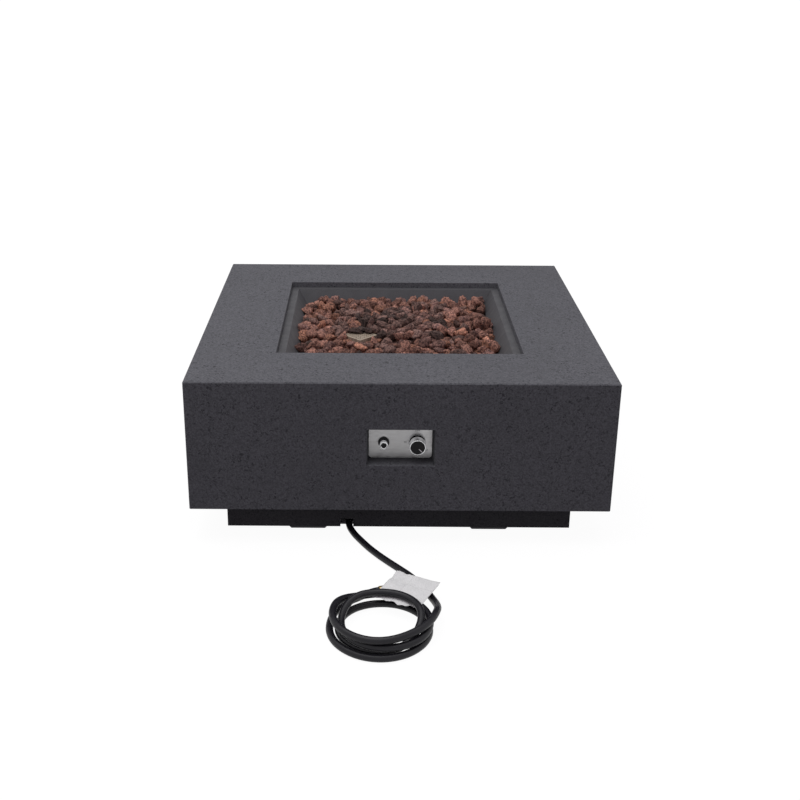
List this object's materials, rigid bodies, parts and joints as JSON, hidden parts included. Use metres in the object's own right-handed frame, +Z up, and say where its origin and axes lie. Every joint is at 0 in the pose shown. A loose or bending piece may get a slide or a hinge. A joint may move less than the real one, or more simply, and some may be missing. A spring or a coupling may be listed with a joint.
{
  "type": "fire pit table",
  "caption": "Square cast-concrete gas fire table: lava rock over a ring burner, recessed panel with gas knob and push igniter, and a coiled hose in front.",
  "frame": {"origin": "on the floor under the middle of the table", "axes": "+Z up, the control panel on the -Y side, +X to the right of someone facing the panel"},
  "size_m": [0.785, 1.1574, 0.328],
  "materials": {
    "concrete": "cast fibre-reinforced concrete, fine matt texture",
    "dark_concrete": "cast fibre-reinforced concrete, dark",
    "lava": "rough porous lava rock",
    "grey_steel": "dark grey high-temperature paint",
    "steel": "brushed stainless steel",
    "zinc": "zinc-plated steel",
    "chrome": "bright chrome plate",
    "brass": "machined brass",
    "copper": "copper",
    "aluminium": "plain aluminium tube",
    "rubber": "black rubber",
    "black_plastic": "black plastic",
    "white_ink": "white inlay",
    "ceramic": "white unglazed ceramic",
    "paper": "blank white paper"
  },
  "bodies": {
    "table": {"table_body": "concrete", "base_plinth": "dark_concrete", "foot_pads": "rubber", "corner_brackets": "zinc", "wall_screws": "zinc", "base_bolts": "zinc", "base_nuts": "zinc", "fire_pan": "grey_steel", "pan_rim": "grey_steel", "heat_shield": "zinc", "shield_spacers": "zinc", "shield_nuts": "zinc", "burner": "steel", "burner_locknut": "brass", "air_mixer": "zinc", "gas_orifice": "brass", "supply_elbow": "brass", "supply_tube": "aluminium", "flare_nuts": "brass", "igniter_guard": "steel", "pilot_bracket": "zinc", "pilot_screws": "zinc", "electrode": "ceramic", "electrode_tip": "steel", "thermocouple": "copper", "thermocouple_lead": "copper", "ignition_wire": "rubber", "lava_rocks": "lava", "control_panel": "steel", "panel_nuts": "zinc", "control_hood": "zinc", "valve_spacers": "zinc", "valve_nuts": "zinc", "gas_valve": "brass", "valve_bonnet": "zinc", "bonnet_screws": "zinc", "stem_spring": "steel", "knob_bezel": "chrome", "igniter_body": "black_plastic", "igniter_nut": "zinc", "igniter_cap": "chrome", "igniter_spring": "steel", "igniter_battery": "zinc", "igniter_terminals": "brass", "inlet_nut": "brass", "inlet_ferrule": "brass", "hose_lead": "rubber", "hose_coil": "rubber", "hose_end_fitting": "brass", "hose_tag": "paper"},
    "valve_plug": {"valve_plug": "brass"},
    "knob": {"valve_stem": "steel", "knob_body": "chrome", "knob_cap": "black_plastic", "knob_pointer": "white_ink"},
    "igniter_button": {"igniter_button": "black_plastic"},
    "hose_nut": {"hose_nut": "brass"}
  },
  "joints": [
    {"name": "knob_turn", "type": "hinge", "parent": "table", "child": "valve_plug", "pos_m": [0.031, -0.33, 0.20075], "axis": [0, 1, 0], "range_deg": [0, 225]},
    {"name": "knob_press", "type": "slide", "parent": "valve_plug", "child": "knob", "axis": [0, 1, 0], "range_m": [0, 0.005], "stiffness_N_per_m": 800, "springref_m": -0.006, "deforming": ["stem_spring"]},
    {"name": "igniter_press", "type": "slide", "parent": "table", "child": "igniter_button", "axis": [0, 1, 0], "range_m": [0, 0.0025], "stiffness_N_per_m": 1200, "springref_m": -0.003, "deforming": ["igniter_spring"]},
    {"name": "nut_spin", "type": "hinge", "parent": "table", "child": "hose_nut", "pos_m": [-0.00002, -0.55815, 0.0113], "axis": [0.959, 0.2833, 0], "continuous": true}
  ]
}
